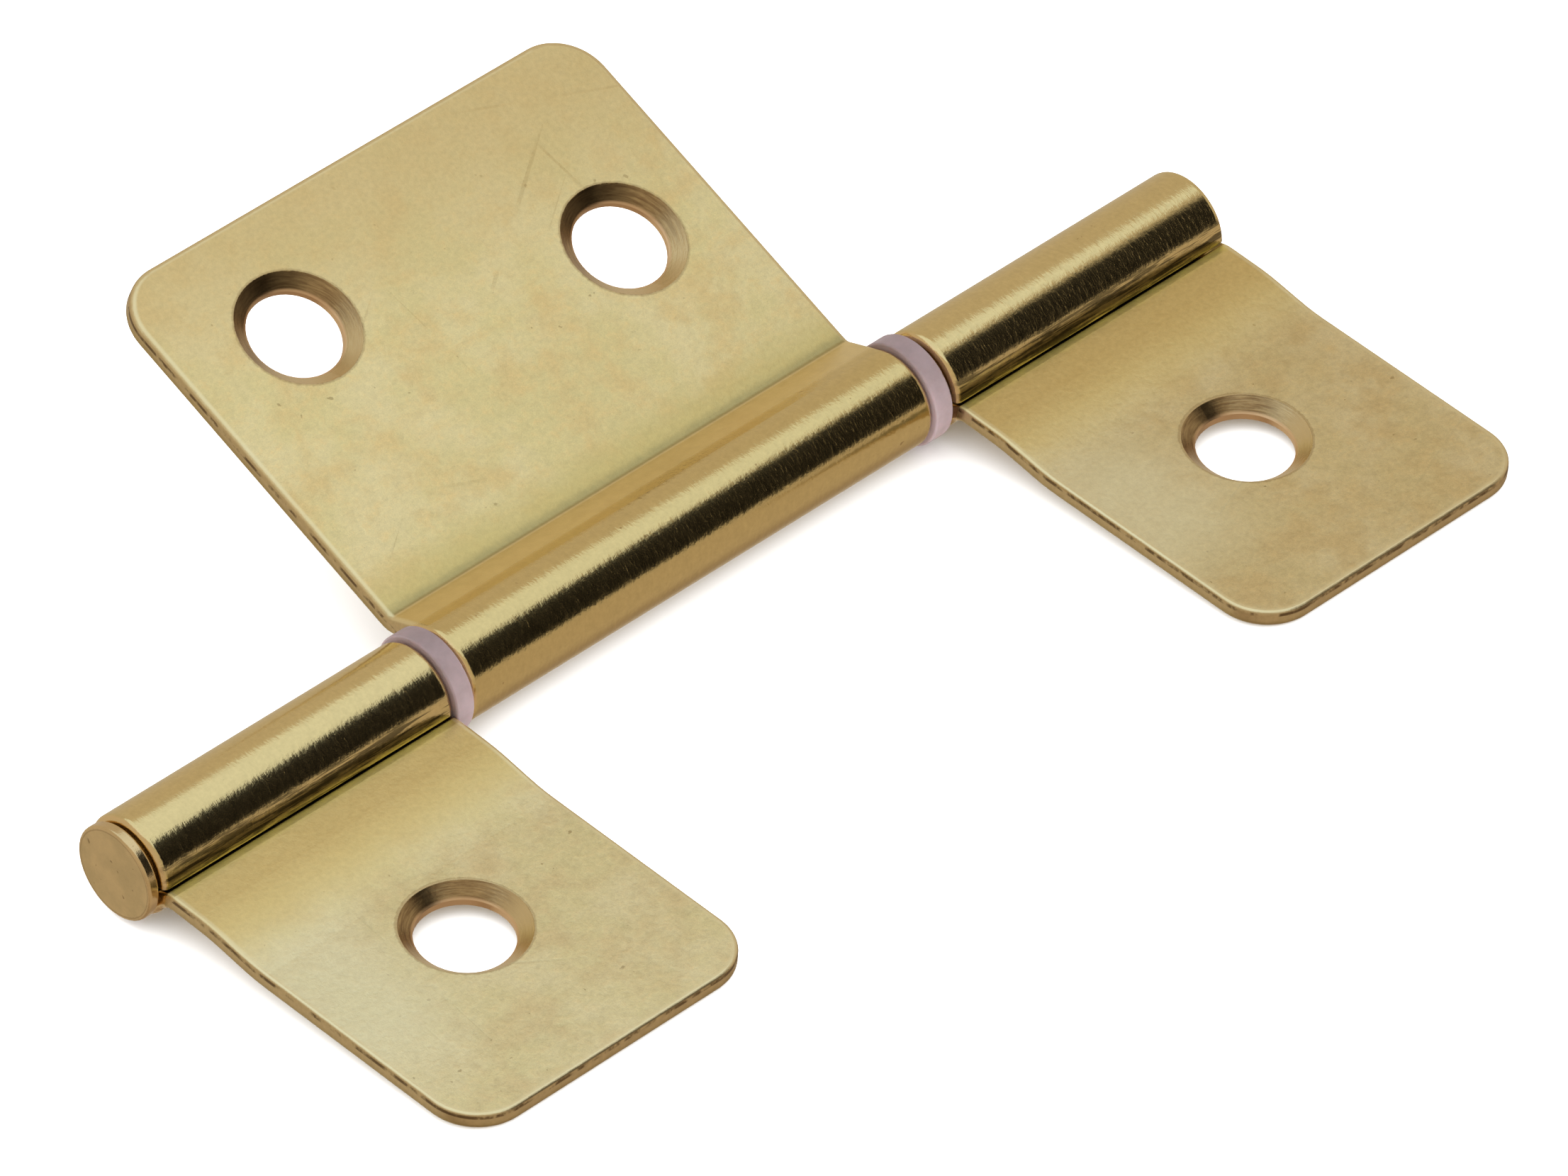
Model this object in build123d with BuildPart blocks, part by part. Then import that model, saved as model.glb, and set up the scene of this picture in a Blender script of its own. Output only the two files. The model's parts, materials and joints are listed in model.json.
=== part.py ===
from build123d import *
import os
from math import asin, atan2, cos, degrees, hypot, radians, sin, sqrt, tan

# A three-leaf door hinge pressed from brass-plated sheet. One large leaf turns on the middle of
# the pin, a small leaf turns on each end of it, and a nylon washer fills each gap between them.
# X runs along the pin with its head at -X, the large leaf lies towards +Y and the small leaves
# towards -Y. The hinge stands on Z = 0 on its two washers and the front edges of the small leaves.

# Driving dimensions, millimetres and degrees
hinge_length = 75.0
small_leaf_length = 19.7
head_end_gap = 1.4
far_end_gap = 1.7
washer_thickness = 1.2
washer_clearance = 0.06
small_leaf_reach = 25.0
large_leaf_reach = 26.5
opening_angle = 160.4

sheet = 1.0
barrel_diameter = 5.55
washer_diameter = 5.92
washer_bore_clearance = 0.08
washer_edge_round = 0.12
pin_clearance = 0.05
leaf_drop = 0.3
small_bend_radius = 1.0
large_bend_radius = 0.6
large_leave_angle = 47.5
small_seam_angle = 5.0
large_seam_angle = 14.5

joggle_start = 6.0
joggle_end = 9.2
joggle_depth = 0.42
joggle_return = 0.3
joggle_bend_radius = 12.0

corner_radius = 3.0
rim_round = 0.35
bore_round = 0.2

screw_hole_diameter = 5.2
countersink_diameter = 6.85
countersink_angle = 100.0
small_hole_reach = 14.0
near_hole = (-9.0, 19.65)
far_hole = (9.7, 14.8)

pin_head_diameter = 5.3
pin_head_thickness = 0.65
pin_head_gap = 0.2
pin_head_round = 0.15
pin_end_recess = 0.3
pin_end_chamfer = 0.35

# Sizes that follow from them
barrel_radius = barrel_diameter / 2
bore_radius = barrel_radius - sheet
pin_radius = bore_radius - pin_clearance
washer_radius = washer_diameter / 2
large_leaf_length = hinge_length - 2 * small_leaf_length - head_end_gap - far_end_gap
large_leaf_start = small_leaf_length + head_end_gap - hinge_length / 2
large_leaf_end = large_leaf_start + large_leaf_length
leaf_top = sheet / 2 - leaf_drop
leaf_back = -sheet / 2 - leaf_drop
front_lift = joggle_return - joggle_depth

# How the hinge stands: the small leaves slope down to their front edges
front_back_edge = leaf_back + front_lift
small_slope = degrees(
    asin(washer_radius / hypot(small_leaf_reach, front_back_edge))
    - atan2(-front_back_edge, small_leaf_reach)
)
large_slope = 180 - opening_angle + small_slope

# The origin is under the middle of the whole hinge
head_face = hinge_length / 2 + pin_head_gap + pin_head_thickness
pin_x = (head_face - hinge_length / 2) / 2
front_y = -small_leaf_reach * cos(radians(small_slope))
back_y = large_leaf_reach * cos(radians(large_slope)) - leaf_back * sin(radians(large_slope))
pin_y = -(front_y + back_y) / 2
pin_z = washer_radius


def pin_plane(x):
    """A plane square to the pin, at x from the middle of the hinge, facing +X."""
    return Plane(origin=(pin_x + x, pin_y, pin_z), x_dir=(0, 1, 0), z_dir=(1, 0, 0))


def leaf_frame(side, rise, x):
    """Local X runs out along the leaf, local Y up out of its face, with the pin as origin.

    side is +1 for the large leaf and -1 for the small ones, and local Z is along side * X.
    """
    out = (0, side * cos(radians(rise)), sin(radians(rise)))
    return Plane(origin=(pin_x + x, pin_y, pin_z), x_dir=out, z_dir=(side, 0, 0))


def face_frame(frame):
    """The same place seen square to the leaf's face: local X out, local Z up."""
    return Plane(origin=frame.origin, x_dir=frame.x_dir, z_dir=frame.y_dir)


def draw_roll(turn, seam_angle, leave_angle):
    """Both sides of the strip's roll round the pin, with the line across its free end.

    Angles are from the leaf's own direction. The roll runs from seam_angle, on the leaf's far
    side where turn is +1, to leave_angle, where the strip leaves the round.
    """
    sweep = leave_angle + seam_angle - 360
    free_end = radians(-turn * seam_angle)
    for roll_radius in (barrel_radius, bore_radius):
        CenterArc((0, 0), roll_radius, -turn * seam_angle, turn * sweep)
    Line(
        (bore_radius * cos(free_end), bore_radius * sin(free_end)),
        (barrel_radius * cos(free_end), barrel_radius * sin(free_end)),
    )


def small_leaf_top(out):
    """Height of a small leaf's face above the pin, past its joggle."""
    rise = joggle_return * (out - joggle_end) / (small_leaf_reach - joggle_end)
    return leaf_top - joggle_depth + rise


def small_section(frame):
    """The strip runs under the pin, round behind it and down onto its own face."""
    bend_height = leaf_back - small_bend_radius
    bend_out = sqrt((barrel_radius + small_bend_radius) ** 2 - bend_height**2)
    leave_angle = degrees(atan2(-bend_height, bend_out))
    with BuildSketch(frame) as section:
        with BuildLine():
            draw_roll(-1, small_seam_angle, leave_angle)
            for thickness in (0, sheet):
                CenterArc(
                    (bend_out, bend_height),
                    small_bend_radius + thickness,
                    180 - leave_angle,
                    leave_angle - 90,
                )
                FilletPolyline(
                    (bend_out, leaf_back + thickness),
                    (joggle_start, leaf_back + thickness),
                    (joggle_end, leaf_back + thickness - joggle_depth),
                    (small_leaf_reach, leaf_back + thickness + front_lift),
                    radius=joggle_bend_radius,
                )
            Line(
                (small_leaf_reach, leaf_back + front_lift),
                (small_leaf_reach, leaf_top + front_lift),
            )
        make_face()
    return section.sketch


def large_section(frame):
    """The strip runs over the pin and round in front of it, up against its own back.

    Between the roll and the crease where the leaf starts, it is straight.
    """
    leave = radians(large_leave_angle)
    with BuildSketch(frame) as section:
        with BuildLine():
            draw_roll(1, large_seam_angle, large_leave_angle)
            for roll_radius, side_height, bend_radius in (
                (barrel_radius, leaf_top, large_bend_radius),
                (bore_radius, leaf_back, large_bend_radius + sheet),
            ):
                roll_end = (roll_radius * cos(leave), roll_radius * sin(leave))
                crease_out = roll_end[0] + (roll_end[1] - side_height) * tan(leave)
                FilletPolyline(
                    roll_end,
                    (crease_out, side_height),
                    (large_leaf_reach, side_height),
                    radius=bend_radius,
                )
            Line((large_leaf_reach, leaf_top), (large_leaf_reach, leaf_back))
        make_face()
    return section.sketch


def screw_hole(frame, out, height, along):
    """A countersunk hole square to the leaf, from a point on its face."""
    mouth = frame.from_local_coords(Vector(out, height, along))
    with Locations(Plane(origin=mouth, x_dir=frame.x_dir, z_dir=frame.y_dir)):
        CounterSinkHole(
            screw_hole_diameter / 2,
            countersink_diameter / 2,
            counter_sink_angle=countersink_angle,
        )


def leaf_outline(frame, length, reach):
    """The leaf seen square to its face, with its two outer corners rounded."""
    with BuildSketch(face_frame(frame)) as outline:
        with Locations(((reach - barrel_diameter) / 2, -length / 2)):
            Rectangle(reach + barrel_diameter, length)
        fillet(outline.vertices().group_by(Axis.X)[-1], corner_radius)
    return outline.sketch


def round_sheared_edges(leaf):
    """Softens the strip's edges, more on the side that is outside at the knuckle.

    Each rounding starts at the knuckle's arcs and runs on round the corners and the front.
    """
    end_edges = leaf.faces().filter_by(Axis.X).edges().filter_by(GeomType.CIRCLE)
    for roll_radius, edge_round in ((barrel_radius, rim_round), (bore_radius, bore_round)):
        roll_edges = end_edges.filter_by(lambda edge: abs(edge.radius - roll_radius) < edge_round / 2)
        fillet(roll_edges, edge_round)


os.makedirs("parts", exist_ok=True)

small_leaf_ends = {
    "small_leaf_head_end": -hinge_length / 2 + small_leaf_length,
    "small_leaf_far_end": hinge_length / 2,
}
for name, inner_end in small_leaf_ends.items():
    small_frame = leaf_frame(-1, -small_slope, inner_end)
    with BuildPart() as small_leaf:
        extrude(small_section(small_frame), amount=small_leaf_length)
        extrude(
            leaf_outline(small_frame, small_leaf_length, small_leaf_reach),
            amount=barrel_diameter,
            both=True,
            mode=Mode.INTERSECT,
        )
        screw_hole(
            small_frame, small_hole_reach, small_leaf_top(small_hole_reach), small_leaf_length / 2
        )
        round_sheared_edges(small_leaf)
    small_leaf.part.label = name
    export_step(small_leaf.part, f"parts/{name}.step")

large_frame = leaf_frame(1, large_slope, large_leaf_start)
with BuildPart() as large_leaf:
    extrude(large_section(large_frame), amount=large_leaf_length)
    extrude(
        leaf_outline(large_frame, large_leaf_length, large_leaf_reach),
        amount=barrel_diameter,
        both=True,
        mode=Mode.INTERSECT,
    )
    for hole_x, hole_reach in (near_hole, far_hole):
        screw_hole(large_frame, hole_reach, leaf_top, hole_x - large_leaf_start)
    round_sheared_edges(large_leaf)
large_leaf.part.label = "large_leaf"
export_step(large_leaf.part, "parts/large_leaf.step")

# Each washer lies near the knuckle on its head side, so the play is on its far side
washer_ends = {
    "washer_head_end": large_leaf_start - head_end_gap + washer_clearance,
    "washer_far_end": large_leaf_end + washer_clearance,
}
for name, washer_x in washer_ends.items():
    with BuildPart() as washer:
        with BuildSketch(pin_plane(washer_x)):
            Circle(washer_radius)
            Circle(pin_radius + washer_bore_clearance, mode=Mode.SUBTRACT)
        extrude(amount=washer_thickness)
        fillet(washer.edges().filter_by(GeomType.CIRCLE), washer_edge_round)
    washer.part.label = name
    export_step(washer.part, f"parts/{name}.step")

with BuildPart() as pin:
    with BuildSketch(pin_plane(-head_face)):
        Circle(pin_head_diameter / 2)
    extrude(amount=pin_head_thickness)
    fillet(pin.edges(), pin_head_round)
    with BuildSketch(pin_plane(pin_head_thickness - head_face)):
        Circle(pin_radius)
    extrude(amount=hinge_length + pin_head_gap - pin_end_recess)
    chamfer(pin.edges().sort_by(Axis.X)[-1], pin_end_chamfer)
pin.part.label = "pin"
export_step(pin.part, "parts/pin.step")
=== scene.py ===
import json
from math import atan2, copysign, cos, radians, sin

import bpy
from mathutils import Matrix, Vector


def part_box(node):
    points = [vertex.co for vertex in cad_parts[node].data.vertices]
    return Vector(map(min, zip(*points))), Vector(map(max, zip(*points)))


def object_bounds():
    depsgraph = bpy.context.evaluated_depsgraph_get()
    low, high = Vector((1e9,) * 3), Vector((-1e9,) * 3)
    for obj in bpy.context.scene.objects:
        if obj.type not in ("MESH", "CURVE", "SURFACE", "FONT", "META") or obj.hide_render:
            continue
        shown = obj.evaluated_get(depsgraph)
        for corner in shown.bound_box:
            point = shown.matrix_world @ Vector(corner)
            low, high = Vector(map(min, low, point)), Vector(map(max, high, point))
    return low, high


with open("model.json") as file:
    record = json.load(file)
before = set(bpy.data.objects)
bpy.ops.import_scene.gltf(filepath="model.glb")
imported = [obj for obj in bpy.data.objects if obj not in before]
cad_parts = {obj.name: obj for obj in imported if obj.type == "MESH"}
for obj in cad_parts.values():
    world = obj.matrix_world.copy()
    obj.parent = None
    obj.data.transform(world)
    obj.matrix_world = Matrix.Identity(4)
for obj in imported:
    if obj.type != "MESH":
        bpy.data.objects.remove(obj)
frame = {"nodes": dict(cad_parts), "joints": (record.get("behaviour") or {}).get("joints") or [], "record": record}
cad_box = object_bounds()

# A three-leaf hinge of brass-plated sheet steel, with nylon washers between its knuckles. The
# pressed parts keep their own shapes; this script gives them their finishes and the studio.
# Places in the finishes are millimetres from the middle of the pin's line.

MM = 0.001
mounts = {mount["name"]: mount for mount in frame["record"]["mounts"]}
joints = {joint["name"]: joint for joint in frame["joints"]}
pin_line = Vector(joints["small_leaf_head_end_swing"]["pos_m"])
middle = Vector(((cad_box[0][0] + cad_box[1][0]) / 2, pin_line.y, pin_line.z))

ALONG = Vector((1, 0, 0))
FORWARD = Vector((0, -1, 0))
UP = Vector((0, 0, 1))

# Sizes of the pressed parts, millimetres
KNUCKLE_RADIUS = 2.775
FACE_HEIGHT = 0.2
CORNER_RADIUS = 3.0
LARGE_EDGE_ROUND = 0.35
SMALL_EDGE_ROUND = 0.2
CREASE_REACH = 3.9
JOGGLE_START = 6.0
JOGGLE_END = 9.2
JOGGLE_DEPTH = 0.42
JOGGLE_RETURN = 0.3
BORE_RADIUS = mounts["large_leaf_near_screw_hole"]["dims"]["r_mm"]
MOUTH_RADIUS = 3.425

# The plate where it is stained or worn, and its painted highlights and shade
FACE_SPECK = (0.3, 0.2, 0.08)
KNUCKLE_SPECK = (0.3, 0.18, 0.07)
SMALL_LEAF_PAINTED_HIGHLIGHT = (0.98, 0.95, 0.66)
SMALL_LEAF_PAINTED_SHADE = (0.78, 0.60, 0.25)
SEAM_YELLOW = (1.0, 0.9, 0.24)
LARGE_LEAF_DULL = (0.78, 0.64, 0.26)
CREASE_PAINTED_SHADE = (0.3, 0.27, 0.13)
CREASE_SLOPE = (0.93, 0.78, 0.42)
KNUCKLE_RIM_TINT_AND_HIGHLIGHT = (0.93, 0.70, 0.38)

# Edges that were sheared, and holes that were cut, with painted highlights and shade
EDGE_PAINTED_HIGHLIGHT = (0.95, 0.84, 0.52)
SHEARED_PALE = (0.70, 0.56, 0.31)
SHEARED_DARK = (0.56, 0.44, 0.21)
COPPER_BREAK = (0.88, 0.52, 0.24)
BURR_BROWN = (0.12, 0.07, 0.03)
CUT_DARK = (0.27, 0.17, 0.08)
CUT_PALE = (0.58, 0.43, 0.22)
CUT_PAINTED_HIGHLIGHT = (0.90, 0.75, 0.43)
LIP_BROWN = (0.42, 0.29, 0.13)
LAND_COPPER = (0.93, 0.64, 0.38)

# The pin and the washers
PIN_PALE = (0.78, 0.61, 0.33)
PIN_DARK = (0.68, 0.54, 0.29)
PIN_SPECK = (0.25, 0.15, 0.07)
PIN_RIM_PAINTED_HIGHLIGHT = (0.92, 0.68, 0.38)
PIN_OUTLINE = (0.34, 0.22, 0.1)
NYLON_DARK = (0.45, 0.34, 0.345)
NYLON_PALE = (0.52, 0.39, 0.405)

# Camera
AZIMUTH = radians(-44.46)
ELEVATION = radians(39.06)
CAMERA_DISTANCE = 761.4 * MM
CAMERA_TARGET = Vector((3.3, -5.06, 0.8)) * MM
LENS = 344.0

# Studio, metres: the softbox's near and far edges are from under the pin, away from the camera
SOFTBOX_WIDTH = 300 * MM
SOFTBOX_NEAR_EDGE = -120 * MM
SOFTBOX_FAR_EDGE = 155 * MM
SOFTBOX_HEIGHT = 204 * MM
SOFTBOX_CORNER = Vector((138, -64, 0)) * MM
SOFTBOX_GLOW = (0.80, 0.84, 0.86)
WALL_FRONT = (0.54, 0.46, 0.36)
WALL_LOW = (0.49, 0.39, 0.29)
WALL_UNDER = (0.36, 0.27, 0.19)
WALL_GAP = (0.005, 0.0045, 0.0045)


class Value:
    """One socket of a finish's shader. Arithmetic on it adds Math nodes."""

    def __init__(self, finish, socket):
        self.finish = finish
        self.socket = socket

    def math(self, operation, *others):
        return self.finish.math(operation, self, *others)

    def __add__(self, other):
        return self.math("ADD", other)

    def __radd__(self, other):
        return self.finish.math("ADD", other, self)

    def __sub__(self, other):
        return self.math("SUBTRACT", other)

    def __rsub__(self, other):
        return self.finish.math("SUBTRACT", other, self)

    def __mul__(self, other):
        return self.math("MULTIPLY", other)

    def __rmul__(self, other):
        return self.finish.math("MULTIPLY", other, self)

    def __pow__(self, other):
        return self.math("POWER", other)

    def __abs__(self):
        return self.math("ABSOLUTE")

    def at_least(self, other):
        return self.math("MAXIMUM", other)

    def at_most(self, other):
        return self.math("MINIMUM", other)

    def toward(self, share, target):
        """This value where share is 0, target where it is 1."""
        return self + share * (target - self)

    def ramp(self, low, high):
        """0 at low, 1 at high, and a straight line between them."""
        return self.finish.node(
            "ShaderNodeMapRange", {}, {"Value": self, "From Min": low, "From Max": high}
        )

    def rise(self, low, high):
        """0 at low, 1 at high and a smooth step between; low may be the larger."""
        settings = {"interpolation_type": "SMOOTHSTEP"}
        return self.finish.node(
            "ShaderNodeMapRange", settings, {"Value": self, "From Min": low, "From Max": high}
        )

    def band(self, centre, half_width, softness):
        """1 within half_width of centre, falling to 0 over softness."""
        return abs(self - centre).rise(half_width + softness, half_width)


class Finish:
    """A material, or the studio's walls, with the nodes that make it."""

    def __init__(self, tree):
        self.tree = tree
        self.tree.nodes.clear()

    def node(self, kind, settings, sockets, out=None):
        """Adds a node and gives its output named out, or its first.

        sockets are keyed by name, or by number where a node's sockets share a name.
        """
        made = self.tree.nodes.new(kind)
        for name, value in settings.items():
            setattr(made, name, value)
        for name, value in sockets.items():
            if isinstance(name, int):
                self.fill(made.inputs[name], value)
            else:
                self.fill(next(s for s in made.inputs if s.enabled and s.name == name), value)
        found = [s for s in made.outputs if s.enabled and out in (None, s.name)]
        return Value(self, found[0]) if found else None

    def fill(self, socket, value):
        if isinstance(value, Value):
            self.tree.links.new(value.socket, socket)
        elif socket.type == "RGBA":
            socket.default_value = (*value, 1.0)
        else:
            socket.default_value = value

    def math(self, operation, *values):
        return self.node("ShaderNodeMath", {"operation": operation}, dict(enumerate(values)))

    def vector_math(self, operation, first, second, out="Vector"):
        sockets = {0: first, 1: second}
        return self.node("ShaderNodeVectorMath", {"operation": operation}, sockets, out)

    def tint(self, colour, amount):
        """colour made lighter or darker by amount, where 1 leaves it as it is."""
        sockets = {"Vector": colour, "Scale": amount}
        return self.node("ShaderNodeVectorMath", {"operation": "SCALE"}, sockets)

    def vary(self, colour, noise, amount, level=1.0):
        """colour at level, lighter and darker by half of amount as noise goes from 1 to 0."""
        return self.tint(colour, level - amount / 2 + amount * noise)

    def mix(self, share, first, second):
        settings = {"data_type": "RGBA"}
        return self.node("ShaderNodeMix", settings, {"Factor": share, "A": first, "B": second})

    def dot(self, vector, direction):
        return self.vector_math("DOT_PRODUCT", vector, direction, out="Value")

    def point(self, x, y, z):
        return self.node("ShaderNodeCombineXYZ", {}, {"X": x, "Y": y, "Z": z})

    def noise(self, vector, scale, detail=3.0, roughness=0.55):
        """Cloudy noise of about 0 to 1, with scale features to the millimetre."""
        sockets = {"Vector": vector, "Scale": scale, "Detail": detail, "Roughness": roughness}
        return self.node("ShaderNodeTexNoise", {}, sockets)

    def place(self):
        """The surface point in millimetres from the pin's middle, as the part was made."""
        made = self.node("ShaderNodeTexCoord", {}, {}, out="Object")
        return self.vector_math("MULTIPLY", self.vector_math("SUBTRACT", made, middle), [1 / MM] * 3)

    def facing(self, direction):
        """1 where the surface faces the direction, 0 where it is side on to it."""
        return self.dot(self.node("ShaderNodeTexCoord", {}, {}, out="Normal"), direction)

    def bump(self, height, depth):
        """Normals for a relief of height 0 to 1, depth millimetres deep."""
        return self.node("ShaderNodeBump", {}, {"Distance": depth * MM, "Height": height})

    def surface(self, sockets):
        shader = self.node("ShaderNodeBsdfPrincipled", {}, sockets)
        self.node("ShaderNodeOutputMaterial", {}, {"Surface": shader})


def new_finish(name):
    material = bpy.data.materials.new(name)
    material.use_nodes = True
    return material, Finish(material.node_tree)


def dress(material, *nodes):
    for node in nodes:
        for slot in frame["nodes"][node].material_slots:
            slot.material = material


class Leaf:
    """Where a leaf's face, edges and screw holes are, in millimetres from the pin's middle."""

    def __init__(self, node, *hole_mounts):
        holes = [(Vector(mounts[name]["pos_m"]) - middle) / MM for name in hole_mounts]
        low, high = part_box(node)
        points = [vertex.co - middle for vertex in frame["nodes"][node].data.vertices]
        self.node = node
        self.up = Vector(mounts[hole_mounts[0]]["axis"])
        self.out = Vector((0, self.up.z, -self.up.y)) * copysign(1, holes[0].y)
        self.holes = [(hole.x, hole.dot(self.out)) for hole in holes]
        self.centre = ((low[0] + high[0]) / 2 - middle.x) / MM
        self.half_length = (high[0] - low[0]) / 2 / MM
        self.reach = max(point.dot(self.out) for point in points) / MM


class LeafPlate:
    """Brass plate on one leaf: its face, knuckle, sheared edges and countersinks.

    joggled leaves are the small ones, which step down between the knuckle and the hole.
    """

    def __init__(self, leaf, pale, olive, tan, roll, joggled):
        self.leaf = leaf
        self.joggled = joggled
        self.material, self.finish = new_finish(f"{leaf.node}_brass")
        self.place = self.finish.place()
        self.x = self.finish.dot(self.place, ALONG)
        self.reach = self.finish.dot(self.place, leaf.out)
        self.height = self.finish.dot(self.place, leaf.up)
        self.mottle = self.finish.noise(self.place, 1.5, 5, 0.65)
        self.grain = self.finish.noise(self.place, 4.0, 3, 0.6)
        self.fine = self.finish.noise(self.place, 14.0, 2, 0.6)
        self.combed = self.draw_marks(4.5, 1.5, 3, 0.6)
        self.specks = self.finish.noise(self.place, 1.9, 2, 0.4).rise(0.745, 0.785)
        self.scratches = self.all_scratches()
        self.edge_noise = self.finish.noise(self.place, 1.1, 3, 0.6)
        self.ragged = self.reach + 0.5 * (self.mottle - 0.5)

        radius = (self.reach * self.reach + self.height * self.height) ** 0.5
        self.rolled = radius.rise(KNUCKLE_RADIUS + 0.15, KNUCKLE_RADIUS + 0.03)
        self.inset = self.inset_from_edge()
        self.sheared = self.inset.rise(0.12, 0.03) * (1 - self.rolled)
        self.hole = self.distance_to_hole()
        turning_place = self.finish.point(self.hole * 13.0, self.x * 0.9, self.reach * 0.9)
        self.turning = self.finish.noise(turning_place, 1.0, 3, 0.65)
        self.mouth = self.hole + 0.16 * (self.grain - 0.5)
        self.sunk = self.mouth.rise(MOUTH_RADIUS + 0.06, MOUTH_RADIUS - 0.04)
        self.land = self.hole.rise(BORE_RADIUS + 0.16, BORE_RADIUS + 0.04)

        face = self.face_colour(pale, olive, tan)
        self.beside_knuckle = self.ragged.rise(3.6, 2.6)
        face = self.small_leaf_tones_and_painted_light(face) if joggled else self.large_leaf_tones_and_painted_shade(face, tan)
        colour = self.finish.mix(self.rolled, face, self.knuckle_colour(roll))
        colour = self.add_sheared_edges(colour)
        colour = self.add_countersinks(colour)
        self.finish.surface({
            "Base Color": colour,
            "Metallic": 1.0,
            "Roughness": self.roughness(),
            "Normal": self.finish.bump(self.relief(), 0.022),
        })

    def inset_from_edge(self):
        """How far in from the leaf's outline a point is, round the two corners too."""
        side = abs(self.x - self.leaf.centre) - (self.leaf.half_length - CORNER_RADIUS)
        front = self.reach - (self.leaf.reach - CORNER_RADIUS)
        past_side = side.at_least(0)
        past_front = front.at_least(0)
        past_corner = (past_side * past_side + past_front * past_front) ** 0.5
        return CORNER_RADIUS - past_corner - side.at_least(front).at_most(0)

    def distance_to_hole(self):
        """Distance from the nearest screw hole's centre line."""
        nearest = None
        for hole_x, hole_reach in self.leaf.holes:
            across = self.x - hole_x
            out = self.reach - hole_reach
            distance = (across * across + out * out) ** 0.5
            nearest = distance if nearest is None else nearest.at_most(distance)
        return nearest

    def depth_below_face(self):
        """How far a point is down from the leaf's face, through the sheet."""
        face_height = FACE_HEIGHT
        if self.joggled:
            face_height = FACE_HEIGHT - JOGGLE_DEPTH * self.reach.ramp(JOGGLE_START, JOGGLE_END)
            face_height += JOGGLE_RETURN * self.reach.ramp(JOGGLE_END, self.leaf.reach)
        return face_height - self.height

    def hair_scratches(self, angle, seed):
        """Long fine scratches that run at an angle to the pin: 1 on a scratch."""
        along = self.x * cos(angle) + self.reach * sin(angle)
        across = self.reach * cos(angle) - self.x * sin(angle)
        strands = self.finish.point(along * 0.03, across * 2.6, seed)
        lines = self.finish.noise(strands, 1.0, 1).rise(0.71, 0.76)
        patches = self.finish.noise(self.finish.point(self.x, self.reach, seed), 0.16, 3)
        return lines * patches.rise(0.5, 0.64)

    def all_scratches(self):
        scratches = self.hair_scratches(radians(35), 1.7)
        for angle, seed in ((radians(-20), 5.3), (radians(96), 9.1)):
            scratches = scratches.at_least(self.hair_scratches(angle, seed))
        return scratches

    def draw_marks(self, along, across, detail, roughness):
        """Noise with along features to the millimetre lengthways, and across round the knuckle."""
        marks = self.finish.point(self.x * along, self.reach * across, self.height * across)
        return self.finish.noise(marks, 1.0, detail, roughness)

    def face_colour(self, pale, olive, tan):
        """Pale plate with olive and tan clouds, stains, specks and scratches."""
        finish = self.finish
        clouds = finish.noise(self.place, 0.17, 4, 0.6)
        elsewhere = finish.vector_math("ADD", self.place, (40.0, 0.0, 0.0))
        patches = finish.noise(elsewhere, 0.33, 4, 0.6)
        streak_place = finish.point(self.x * 0.22, self.reach * 1.1, self.height)
        streaks = finish.noise(streak_place, 1.0, 4, 0.6)
        face = finish.mix(clouds.rise(0.38, 0.62), pale, olive)
        face = finish.mix(patches.rise(0.45, 0.7) * 0.8, face, tan)
        face = finish.mix(self.mottle.rise(0.5, 0.75) * 0.55, face, tan)
        face = finish.mix(streaks.rise(0.5, 0.75) * 0.4, face, tan)
        face = finish.vary(face, self.mottle, 0.36)
        face = finish.vary(face, self.grain, 0.32)
        face = finish.vary(face, self.fine, 0.32)
        face = finish.tint(face, 1 - 0.08 * self.scratches)
        return finish.mix(self.specks * 0.5, face, FACE_SPECK)

    def small_leaf_tones_and_painted_light(self, face):
        """A painted highlight down the side nearer the head, painted shade over the joggle and the flat inside it,
        and yellow by the knuckle.
        """
        finish = self.finish
        # Painted highlight: a pale cloud down the side nearer the head, partway out along the leaf.
        painted_highlight_share = (self.leaf.centre - self.x).rise(1.5, 7.5) * self.reach.band(14.0, 2.0, 6.0)
        face = finish.mix(painted_highlight_share * 0.65, face, finish.vary(SMALL_LEAF_PAINTED_HIGHLIGHT, self.grain, 0.2))
        # Painted shade: darker from the knuckle out over the joggle, damping the joggle's reflection.
        joggle_painted_shade = self.ragged.rise(JOGGLE_END + 1.2, JOGGLE_START + 0.2)
        face = finish.mix(joggle_painted_shade * 0.9, face, finish.vary(SMALL_LEAF_PAINTED_SHADE, self.grain, 0.32))
        return finish.mix(self.beside_knuckle * 0.85, face, SEAM_YELLOW)

    def large_leaf_tones_and_painted_shade(self, face, tan):
        """Duller by the knuckle and at the far corner, with painted shade along the crease."""
        finish = self.finish
        near = self.ragged.rise(CREASE_REACH + 3.0, CREASE_REACH + 0.4)
        face = finish.mix(near * 0.8, face, finish.vary(LARGE_LEAF_DULL, self.grain, 0.32, 0.92))
        far = (self.ragged + 0.12 * self.x).rise(self.leaf.reach - 12.0, self.leaf.reach)
        face = finish.mix(far * 0.8, face, finish.vary(tan, self.grain, 0.32, 0.88))
        # Painted shade: a dark grey band along the crease where the face bends into the knuckle.
        crease = self.ragged.rise(CREASE_REACH + 0.75, CREASE_REACH + 0.05)
        face = finish.mix(crease * 0.55, face, CREASE_PAINTED_SHADE)
        slope = self.reach.rise(CREASE_REACH, CREASE_REACH - 0.15)
        return finish.mix(slope, face, finish.vary(CREASE_SLOPE, self.mottle, 0.24))

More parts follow.
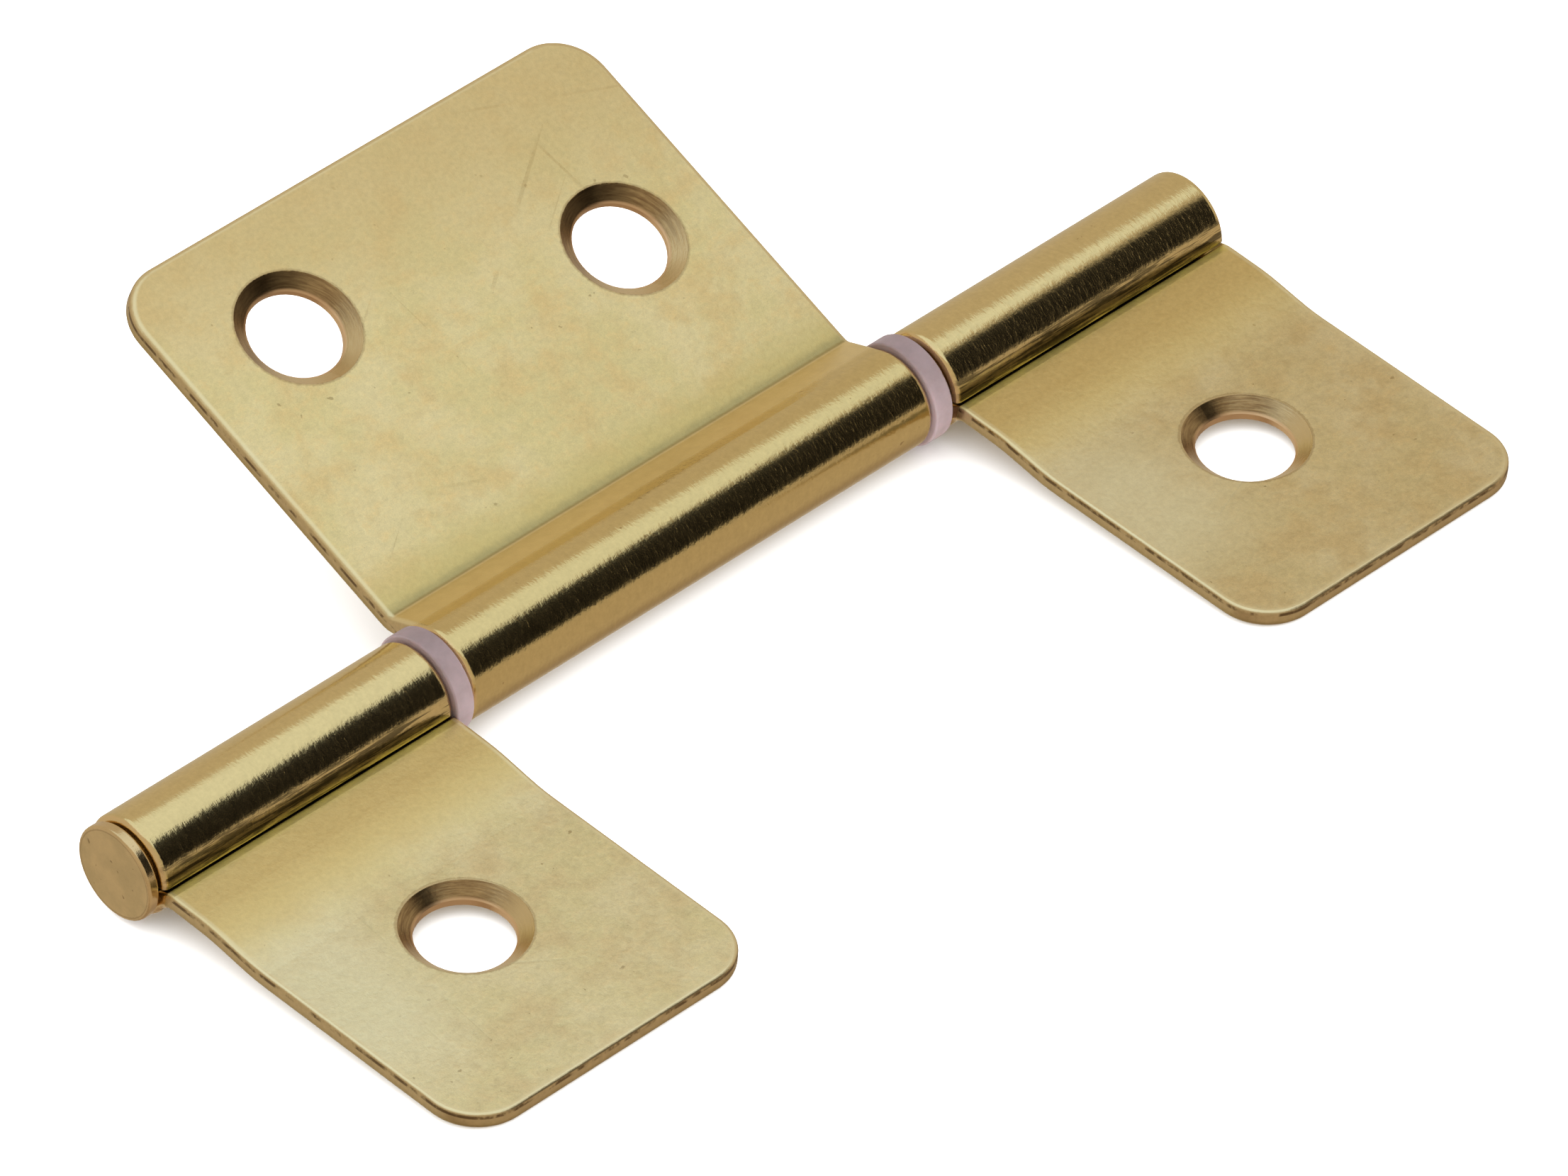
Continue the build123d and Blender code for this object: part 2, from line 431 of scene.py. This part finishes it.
    def knuckle_colour(self, roll):
        """Polished by the rolling tool, with combed draw marks, and an orange rim at the ends that is partly a
        painted highlight.
        """
        finish = self.finish
        knuckle = finish.vary(roll, self.mottle, 0.16)
        knuckle = finish.vary(knuckle, self.combed, 0.16)
        knuckle = finish.vary(knuckle, self.grain, 0.2)
        knuckle = finish.mix(self.specks * 0.5, knuckle, KNUCKLE_SPECK)
        if self.joggled:
            drawn = self.draw_marks(0.25, 4.5, 4, 0.65)
            above_seam = self.height.rise(1.9, 1.1) * self.reach.rise(0.8, 1.6)
            knuckle = finish.tint(knuckle, 1 - 0.75 * above_seam * drawn.rise(0.44, 0.56))
        # The rounded rims at the knuckle's ends: an orange tint with a painted highlight.
        end = self.leaf.half_length - abs(self.x - self.leaf.centre)
        return finish.mix(end.rise(0.26, 0.12) * 0.7, knuckle, KNUCKLE_RIM_TINT_AND_HIGHLIGHT)

    def add_sheared_edges(self, colour):
        """A painted highlight on the rounded turn off the face, a burr line with nicks, then the copper break."""
        finish = self.finish
        depth = self.depth_below_face()
        edge_round = SMALL_EDGE_ROUND if self.joggled else LARGE_EDGE_ROUND
        # Painted highlight along the rounded turn off the face, broken into nicks by noise.
        turned = self.inset.rise(0.42, 0.24) * (1 - self.rolled)
        colour = finish.mix(turned * (0.45 + 0.4 * self.edge_noise), colour, EDGE_PAINTED_HIGHLIGHT)
        broken = depth + 0.3 * (self.edge_noise - 0.5)
        side = finish.mix(broken.rise(0.4, 0.8), SHEARED_PALE, SHEARED_DARK)
        side = finish.vary(side, self.grain, 0.4)
        side = finish.mix(depth.rise(0.84, 0.93), side, COPPER_BREAK)
        burr = depth.band(edge_round, 0.05, 0.08) * self.edge_noise.rise(0.4, 0.58)
        side = finish.mix(burr * 0.85, side, BURR_BROWN)
        return finish.mix(self.sheared, colour, side)

    def add_countersinks(self, colour):
        """Cut after plating: copper brown with turning marks and a fuzzy mouth, with painted shade where the cone
        faces forward and a painted highlight where it faces back.
        """
        finish = self.finish
        cut = finish.mix(self.turning.rise(0.2, 0.8), CUT_DARK, CUT_PALE)
        cut = finish.vary(cut, self.mottle, 0.4)
        # Painted shade where the cone faces forward, and a painted highlight where it faces back.
        forward = finish.facing(FORWARD)
        cut = finish.tint(cut, 1 - 0.78 * forward.rise(0.55, 0.92))
        cut = finish.mix(forward.rise(0.4, -0.2) * 0.85, cut, CUT_PAINTED_HIGHLIGHT)
        lip = self.mouth.band(MOUTH_RADIUS + 0.04, 0.03, 0.08)
        colour = finish.mix(lip * 0.45, colour, LIP_BROWN)
        colour = finish.mix(self.sunk, colour, cut)
        return finish.mix(self.land * 0.7, colour, LAND_COPPER)

    def roughness(self):
        face = 0.25 + 0.12 * self.mottle + 0.08 * (self.grain - 0.5) + 0.1 * self.scratches
        if self.joggled:
            face = face.toward(self.beside_knuckle, 0.55)
        plate = face.toward(self.rolled, 0.12 + 0.08 * self.combed)
        plate = plate.toward(self.sunk - self.sunk * self.land, 0.27)
        return plate.toward(self.sheared, 0.34)

    def relief(self):
        face = 0.55 * self.mottle + 0.3 * self.grain + 0.16 * self.fine - 0.1 * self.scratches
        plate = face.toward(self.rolled, 0.62 * self.combed + 0.34 * self.grain)
        plate = plate.toward(self.sunk, 0.4 * self.turning + 0.3 * self.grain)
        return plate.toward(self.sheared, 1.4 * self.edge_noise + 0.5 * self.grain)


def plated_pin():
    """Brass plate on the pin: a turned face on its head, with a painted highlight on the rim and darker round the
    rim's edge.
    """
    material, finish = new_finish("pin_brass")
    place = finish.place()
    height = finish.dot(place, UP)
    forward = finish.dot(place, FORWARD)
    radius = (height * height + forward * forward) ** 0.5
    clouds = finish.noise(place, 0.5, 4, 0.6)
    mottle = finish.noise(place, 2.2, 4, 0.65)
    grain = finish.noise(place, 7.0, 3, 0.6)
    turning = finish.noise(finish.point(radius * 7.0, height * 0.4, forward * -0.4), 1.0, 3, 0.6)
    colour = finish.mix(clouds.rise(0.35, 0.65), PIN_PALE, PIN_DARK)
    colour = finish.vary(colour, mottle, 0.24)
    specks = finish.noise(place, 2.4, 2, 0.4).rise(0.7, 0.75)
    colour = finish.mix(specks * 0.6, colour, PIN_SPECK)
    # Painted highlight on the head's rounded rim.
    colour = finish.mix(radius.rise(2.38, 2.56) * 0.3, colour, PIN_RIM_PAINTED_HIGHLIGHT)
    outline = (radius + 0.08 * (grain - 0.5)).band(2.45, 0.01, 0.05)
    colour = finish.mix(outline * 0.45, colour, PIN_OUTLINE)
    end_on = abs(finish.facing(ALONG)).rise(0.8, 0.95)
    relief = 0.5 * mottle + 0.3 * grain + end_on * 0.4 * turning
    finish.surface({
        "Base Color": colour,
        "Metallic": 1.0,
        "Roughness": 0.14 + 0.1 * mottle + 0.14 * end_on,
        "Normal": finish.bump(relief, 0.02),
    })
    return material


def moulded_nylon():
    """Lilac-grey nylon, cloudy inside, a little polished where it rubs on the knuckles."""
    material, finish = new_finish("washer_nylon")
    place = finish.place()
    clouds = finish.noise(place, 0.7, 3, 0.6)
    grain = finish.noise(place, 9.0, 3, 0.6)
    colour = finish.mix(clouds.rise(0.32, 0.68), NYLON_DARK, NYLON_PALE)
    rubbed = abs(finish.facing(ALONG)).rise(0.7, 0.95)
    finish.surface({
        "Base Color": finish.vary(colour, grain, 0.1),
        "Roughness": 0.56 + 0.14 * grain - 0.16 * rubbed,
        "Normal": finish.bump(grain, 0.006),
        "Subsurface Weight": 0.15,
        "Subsurface Scale": 0.5 * MM,
        "Specular IOR Level": 0.35,
    })
    return material


def add_camera():
    data = bpy.data.cameras.new("camera")
    data.lens = LENS
    camera = bpy.data.objects.new("camera", data)
    bpy.context.scene.collection.objects.link(camera)
    level = cos(ELEVATION)
    back = Vector((sin(AZIMUTH) * level, -cos(AZIMUTH) * level, sin(ELEVATION)))
    camera.location = CAMERA_TARGET + back * CAMERA_DISTANCE
    camera.rotation_euler = (-back).to_track_quat("-Z", "Y").to_euler()
    bpy.context.scene.camera = camera


def add_softbox():
    """The glowing panel overhead, seen only in the brass.

    Its right-hand edge, as the camera sees it, passes over SOFTBOX_CORNER and runs away from it.
    """
    away = Vector((-sin(AZIMUTH), cos(AZIMUTH), 0))
    right = Vector((cos(AZIMUTH), sin(AZIMUTH), 0))
    centre = right * (SOFTBOX_CORNER.dot(right) - SOFTBOX_WIDTH / 2)
    centre += away * (SOFTBOX_NEAR_EDGE + SOFTBOX_FAR_EDGE) / 2
    centre.z = SOFTBOX_HEIGHT
    turn = atan2(right.y, right.x)
    bpy.ops.mesh.primitive_plane_add(size=1.0, location=centre, rotation=(0, 0, turn))
    softbox = bpy.context.object
    softbox.name = "softbox"
    softbox.scale = (SOFTBOX_WIDTH, SOFTBOX_FAR_EDGE - SOFTBOX_NEAR_EDGE, 1.0)
    material, finish = new_finish("softbox")
    glow = finish.node("ShaderNodeEmission", {}, {"Color": SOFTBOX_GLOW})
    finish.node("ShaderNodeOutputMaterial", {}, {"Surface": glow})
    softbox.data.materials.append(material)
    softbox.visible_camera = False
    softbox.visible_diffuse = False
    softbox.visible_shadow = False


def add_soft_light(name, energy, *pieces):
    """Wide soft light from above that falls on these pieces only."""
    lamp = bpy.data.lights.new(name, "SUN")
    lamp.energy = energy
    lamp.angle = radians(170)
    light = bpy.data.objects.new(name, lamp)
    bpy.context.scene.collection.objects.link(light)
    light.visible_glossy = False
    lit = bpy.data.collections.new(f"lit_by_{name}")
    for piece in pieces:
        lit.objects.link(piece)
    light.light_linking.receiver_collection = lit


def add_walls():
    """What the polished brass reflects: tan walls, and a dark gap beyond the softbox.

    tilt is the angle from overhead, forwards and down to underneath.
    """
    world = bpy.data.worlds.new("studio")
    bpy.context.scene.world = world
    world.use_nodes = True
    world.cycles_visibility.diffuse = False
    studio = Finish(world.node_tree)
    direction = studio.node("ShaderNodeTexCoord", {}, {}, out="Generated")
    tilt = studio.math("ARCTAN2", studio.dot(direction, FORWARD), studio.dot(direction, UP))
    lengthways = studio.dot(direction, ALONG)
    gap = tilt.rise(radians(10), radians(28)) * tilt.rise(radians(90), radians(84))
    gap = gap * lengthways.rise(0.2, 0.35) * lengthways.rise(0.74, 0.64)
    walls = studio.mix(tilt.rise(radians(84), radians(95)), WALL_FRONT, WALL_LOW)
    walls = studio.mix(abs(tilt).rise(radians(145), radians(175)), walls, WALL_UNDER)
    walls = studio.mix(gap, walls, WALL_GAP)
    shade = studio.node("ShaderNodeBackground", {}, {"Color": walls})
    studio.node("ShaderNodeOutputWorld", {}, {"Surface": shade})


def add_floor():
    """A plain pale floor, clear from underneath so that the hinge's back can be seen."""
    bpy.ops.mesh.primitive_plane_add(size=6.0)
    floor = bpy.context.object
    floor.name = "floor"
    material, finish = new_finish("pale_floor")
    matt = finish.node(
        "ShaderNodeBsdfPrincipled", {}, {"Base Color": (0.85, 0.85, 0.85), "Roughness": 0.8}
    )
    clear = finish.node("ShaderNodeBsdfTransparent", {}, {})
    underneath = finish.node("ShaderNodeNewGeometry", {}, {}, out="Backfacing")
    shader = finish.node("ShaderNodeMixShader", {}, {0: underneath, 1: matt, 2: clear})
    finish.node("ShaderNodeOutputMaterial", {}, {"Surface": shader})
    floor.data.materials.append(material)
    floor.visible_glossy = False
    return floor


add_camera()

large_plate = LeafPlate(
    Leaf("large_leaf", "large_leaf_near_screw_hole", "large_leaf_far_screw_hole"),
    pale=(0.90, 0.76, 0.41),
    olive=(0.84, 0.71, 0.35),
    tan=(0.84, 0.63, 0.29),
    roll=(0.80, 0.65, 0.31),
    joggled=False,
)
head_end_plate = LeafPlate(
    Leaf("small_leaf_head_end", "small_leaf_head_end_screw_hole"),
    pale=(0.92, 0.83, 0.51),
    olive=(0.87, 0.78, 0.44),
    tan=(0.82, 0.68, 0.38),
    roll=(0.83, 0.68, 0.34),
    joggled=True,
)
far_end_plate = LeafPlate(
    Leaf("small_leaf_far_end", "small_leaf_far_end_screw_hole"),
    pale=(0.86, 0.75, 0.45),
    olive=(0.80, 0.68, 0.37),
    tan=(0.77, 0.61, 0.31),
    roll=(0.83, 0.68, 0.34),
    joggled=True,
)
for plate in (large_plate, head_end_plate, far_end_plate):
    dress(plate.material, plate.leaf.node)
dress(plated_pin(), "pin")
washers = ("washer_head_end", "washer_far_end")
dress(moulded_nylon(), *washers)

add_walls()
add_softbox()
add_soft_light("floor_light", 9.5, add_floor())
add_soft_light("washer_light", 2.1, *(frame["nodes"][washer] for washer in washers))

bpy.context.scene.view_settings.view_transform = "Standard"
bpy.context.scene.view_settings.look = "None"
